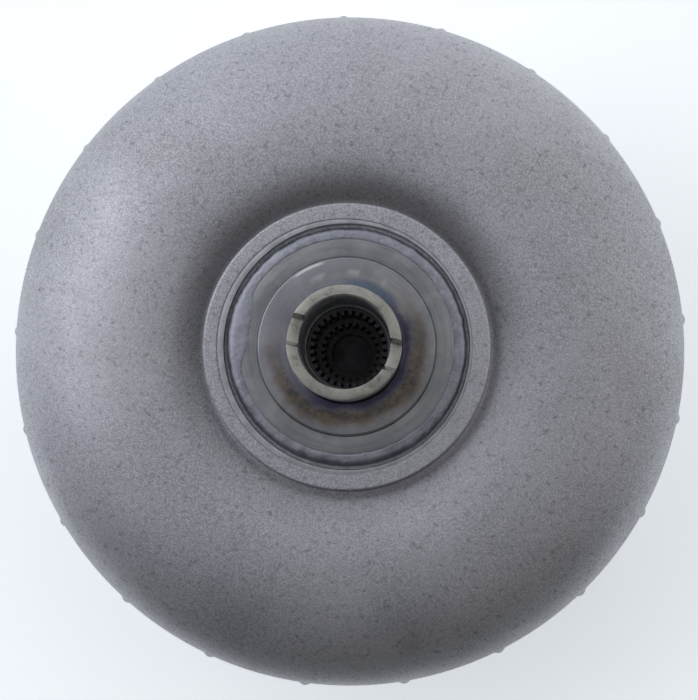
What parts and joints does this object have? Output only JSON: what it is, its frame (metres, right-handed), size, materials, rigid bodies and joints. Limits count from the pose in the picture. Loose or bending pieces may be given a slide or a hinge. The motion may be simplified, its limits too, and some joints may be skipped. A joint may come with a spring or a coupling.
{
  "type": "torque converter",
  "caption": "Welded automotive torque converter: round blasted-steel shell, slotted pump hub, drive lugs and crank pilot, with turbine, stator, clutch and damper inside.",
  "frame": {"origin": "centre of the crank pilot's end face, at the bottom", "axes": "+Z along the rotation axis towards the pump hub; +X through one hub slot"},
  "size_m": [0.3, 0.2998, 0.178],
  "materials": {
    "blasted_shell": "grit-blasted bare steel, matt",
    "machined_hub": "lathe-turned, with heat tint round the tube",
    "turned_steel": "turned",
    "weld": "wire-brushed weld bead",
    "blade_steel": "pressed sheet, oiled",
    "bearing_steel": "ground",
    "spring_steel": "oil-blackened wire",
    "cast_aluminium": "as cast",
    "bronze": "sintered",
    "seal": "filled seal plastic",
    "lining": "paper friction lining"
  },
  "bodies": {
    "housing": {"front_cover": "blasted_shell", "crank_pilot": "turned_steel", "drive_lugs": "turned_steel", "balance_weight": "turned_steel", "girth_weld": "weld", "impeller_shell": "blasted_shell", "impeller_blades": "blade_steel", "impeller_core_ring": "blade_steel", "pump_hub": "machined_hub", "hub_flange": "machined_hub", "hub_weld": "weld", "thrust_washer": "bronze", "rear_bearing_hub_race": "bearing_steel"},
    "turbine": {"turbine_shell": "blade_steel", "turbine_blades": "blade_steel", "turbine_core_ring": "blade_steel", "turbine_hub": "turned_steel", "turbine_rivets": "turned_steel", "damper_driven_plate": "blade_steel", "piston_seal_ring": "seal", "front_bearing_turbine_race": "bearing_steel"},
    "damper_drive": {"damper_front_plate": "blade_steel", "damper_rear_plate": "blade_steel", "damper_posts": "turned_steel", "damper_springs": "spring_steel"},
    "piston": {"lockup_piston": "blade_steel", "friction_lining": "lining"},
    "stator": {"stator_wheel": "cast_aluminium", "clutch_cam": "bearing_steel", "stator_front_cap": "cast_aluminium", "stator_rear_cap": "cast_aluminium", "roller_springs": "spring_steel", "rear_bearing_stator_race": "bearing_steel", "front_bearing_stator_race": "bearing_steel"},
    "inner_race": {"stator_race": "bearing_steel"},
    "rear_needle_cage": {"rear_bearing_cage": "blade_steel", "rear_bearing_needles": "bearing_steel"},
    "front_needle_cage": {"front_bearing_cage": "blade_steel", "front_bearing_needles": "bearing_steel"},
    "clutch_roller_1": {"clutch_roller_1": "bearing_steel"},
    "clutch_roller_2": {"clutch_roller_2": "bearing_steel"},
    "clutch_roller_3": {"clutch_roller_3": "bearing_steel"},
    "clutch_roller_4": {"clutch_roller_4": "bearing_steel"},
    "clutch_roller_5": {"clutch_roller_5": "bearing_steel"},
    "clutch_roller_6": {"clutch_roller_6": "bearing_steel"},
    "clutch_roller_7": {"clutch_roller_7": "bearing_steel"},
    "clutch_roller_8": {"clutch_roller_8": "bearing_steel"}
  },
  "joints": [
    {"name": "turbine_spin", "type": "hinge", "parent": "housing", "child": "turbine", "pos_m": [0, 0, 0.06], "axis": [0, 0, 1], "continuous": true},
    {"name": "damper_twist", "type": "hinge", "parent": "turbine", "child": "damper_drive", "pos_m": [0, 0, 0.042], "axis": [0, 0, 1], "range_deg": [-7, 7], "stiffness_Nm_per_rad": 900, "deforming": ["damper_springs"]},
    {"name": "piston_apply", "type": "slide", "parent": "damper_drive", "child": "piston", "axis": [0, 0, -1], "range_m": [0, 0.0009]},
    {"name": "stator_spin", "type": "hinge", "parent": "housing", "child": "stator", "pos_m": [0, 0, 0.084], "axis": [0, 0, 1], "continuous": true},
    {"name": "freewheel", "type": "hinge", "parent": "stator", "child": "inner_race", "pos_m": [0, 0, 0.084], "axis": [0, 0, 1], "continuous": true},
    {"name": "rear_cage_spin", "type": "hinge", "parent": "housing", "child": "rear_needle_cage", "pos_m": [0, 0, 0.1064], "axis": [0, 0, 1], "continuous": true},
    {"name": "front_cage_spin", "type": "hinge", "parent": "housing", "child": "front_needle_cage", "pos_m": [0, 0, 0.0635], "axis": [0, 0, 1], "continuous": true},
    {"name": "roller_spin_1", "type": "hinge", "parent": "stator", "child": "clutch_roller_1", "pos_m": [0.02805, 0, 0.0845], "axis": [0, 0, 1], "continuous": true},
    {"name": "roller_spin_2", "type": "hinge", "parent": "stator", "child": "clutch_roller_2", "pos_m": [0.01983, 0.01983, 0.0845], "axis": [0, 0, 1], "continuous": true},
    {"name": "roller_spin_3", "type": "hinge", "parent": "stator", "child": "clutch_roller_3", "pos_m": [0, 0.02805, 0.0845], "axis": [0, 0, 1], "continuous": true},
    {"name": "roller_spin_4", "type": "hinge", "parent": "stator", "child": "clutch_roller_4", "pos_m": [-0.01983, 0.01983, 0.0845], "axis": [0, 0, 1], "continuous": true},
    {"name": "roller_spin_5", "type": "hinge", "parent": "stator", "child": "clutch_roller_5", "pos_m": [-0.02805, 0, 0.0845], "axis": [0, 0, 1], "continuous": true},
    {"name": "roller_spin_6", "type": "hinge", "parent": "stator", "child": "clutch_roller_6", "pos_m": [-0.01983, -0.01983, 0.0845], "axis": [0, 0, 1], "continuous": true},
    {"name": "roller_spin_7", "type": "hinge", "parent": "stator", "child": "clutch_roller_7", "pos_m": [0, -0.02805, 0.0845], "axis": [0, 0, 1], "continuous": true},
    {"name": "roller_spin_8", "type": "hinge", "parent": "stator", "child": "clutch_roller_8", "pos_m": [0.01983, -0.01983, 0.0845], "axis": [0, 0, 1], "continuous": true}
  ],
  "couplings": [
    {"joint": "rear_cage_spin", "follows": "stator_spin", "ratio": 0.5},
    {"joint": "front_cage_spin", "follows": "turbine_spin", "ratio": 0.5},
    {"joint": "roller_spin_1", "follows": "freewheel", "ratio": -6},
    {"joint": "roller_spin_2", "follows": "freewheel", "ratio": -6},
    {"joint": "roller_spin_3", "follows": "freewheel", "ratio": -6},
    {"joint": "roller_spin_4", "follows": "freewheel", "ratio": -6},
    {"joint": "roller_spin_5", "follows": "freewheel", "ratio": -6},
    {"joint": "roller_spin_6", "follows": "freewheel", "ratio": -6},
    {"joint": "roller_spin_7", "follows": "freewheel", "ratio": -6},
    {"joint": "roller_spin_8", "follows": "freewheel", "ratio": -6}
  ]
}
